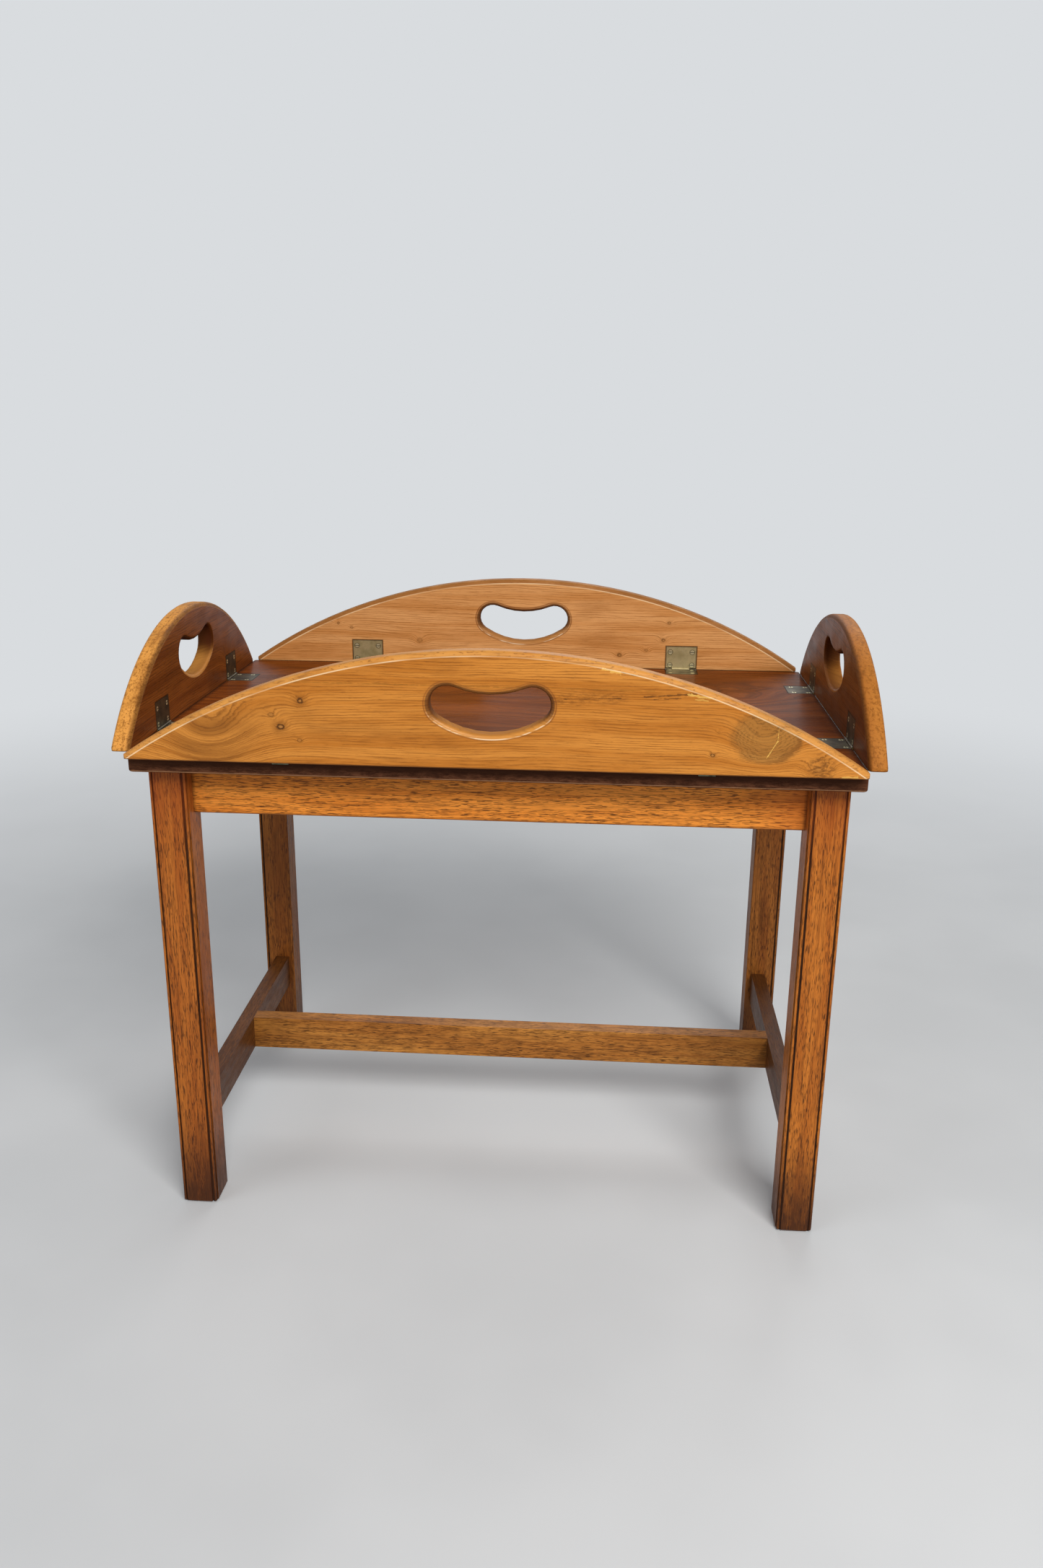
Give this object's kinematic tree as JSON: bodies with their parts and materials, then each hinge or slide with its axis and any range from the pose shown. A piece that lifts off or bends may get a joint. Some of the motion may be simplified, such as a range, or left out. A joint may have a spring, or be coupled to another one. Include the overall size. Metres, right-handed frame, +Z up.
{
  "type": "butler tray table",
  "caption": "Low butler tray table: a lift-off board with arched fold-up flaps, handle holes and flush spring hinges, on a legged stand with stretchers.",
  "frame": {"origin": "on the floor, under the middle of the stand", "axes": "+X along the tray's length, +Y from its front flap to its back flap, +Z up"},
  "size_m": [0.7434, 0.4904, 0.6332],
  "materials": {
    "flap_wood": "waxed honey-coloured wood with open grain and knots",
    "board_wood": "polished red-brown wood",
    "stand_wood": "satin orange-brown wood with short dark pores",
    "aged_brass": "dull olive brass, unpolished",
    "screw_brass": "paler rubbed brass",
    "spring_steel": "plain spring steel"
  },
  "bodies": {
    "stand": {"back_apron": "stand_wood", "back_left_leg": "stand_wood", "back_right_leg": "stand_wood", "front_apron": "stand_wood", "front_left_leg": "stand_wood", "front_right_leg": "stand_wood", "left_apron": "stand_wood", "left_stretcher": "stand_wood", "middle_stretcher": "stand_wood", "right_apron": "stand_wood", "right_stretcher": "stand_wood"},
    "tray": {"back_left_hinge_board_leaf": "aged_brass", "back_left_hinge_pin": "aged_brass", "back_left_hinge_spring": "spring_steel", "back_right_hinge_board_leaf": "aged_brass", "back_right_hinge_pin": "aged_brass", "back_right_hinge_spring": "spring_steel", "front_left_hinge_board_leaf": "aged_brass", "front_left_hinge_pin": "aged_brass", "front_left_hinge_spring": "spring_steel", "front_right_hinge_board_leaf": "aged_brass", "front_right_hinge_pin": "aged_brass", "front_right_hinge_spring": "spring_steel", "left_back_hinge_board_leaf": "aged_brass", "left_back_hinge_pin": "aged_brass", "left_back_hinge_spring": "spring_steel", "left_cleat": "stand_wood", "left_cleat_screw_1": "screw_brass", "left_cleat_screw_2": "screw_brass", "left_cleat_screw_3": "screw_brass", "left_front_hinge_board_leaf": "aged_brass", "left_front_hinge_pin": "aged_brass", "left_front_hinge_spring": "spring_steel", "right_back_hinge_board_leaf": "aged_brass", "right_back_hinge_pin": "aged_brass", "right_back_hinge_spring": "spring_steel", "right_cleat": "stand_wood", "right_cleat_screw_1": "screw_brass", "right_cleat_screw_2": "screw_brass", "right_cleat_screw_3": "screw_brass", "right_front_hinge_board_leaf": "aged_brass", "right_front_hinge_pin": "aged_brass", "right_front_hinge_spring": "spring_steel", "tray_board": "board_wood"},
    "front_flap": {"front_flap": "flap_wood", "front_left_hinge_flap_leaf": "aged_brass", "front_right_hinge_flap_leaf": "aged_brass"},
    "back_flap": {"back_flap": "flap_wood", "back_left_hinge_flap_leaf": "aged_brass", "back_right_hinge_flap_leaf": "aged_brass"},
    "left_flap": {"left_back_hinge_flap_leaf": "aged_brass", "left_flap": "flap_wood", "left_front_hinge_flap_leaf": "aged_brass"},
    "right_flap": {"right_back_hinge_flap_leaf": "aged_brass", "right_flap": "flap_wood", "right_front_hinge_flap_leaf": "aged_brass"}
  },
  "joints": [
    {"name": "tray_lift", "type": "slide", "parent": "stand", "child": "tray", "axis": [0, 0, 1], "range_m": [0, 0.25]},
    {"name": "front_flap_fold", "type": "hinge", "parent": "tray", "child": "front_flap", "pos_m": [0, -0.22685, 0.52185], "axis": [1, 0, 0], "range_deg": [0, 90]},
    {"name": "back_flap_fold", "type": "hinge", "parent": "tray", "child": "back_flap", "pos_m": [0, 0.22685, 0.52185], "axis": [-1, 0, 0], "range_deg": [0, 90]},
    {"name": "left_flap_fold", "type": "hinge", "parent": "tray", "child": "left_flap", "pos_m": [-0.35335, 0, 0.52185], "axis": [0, -1, 0], "range_deg": [0, 90]},
    {"name": "right_flap_fold", "type": "hinge", "parent": "tray", "child": "right_flap", "pos_m": [0.35335, 0, 0.52185], "axis": [0, 1, 0], "range_deg": [0, 90]}
  ]
}
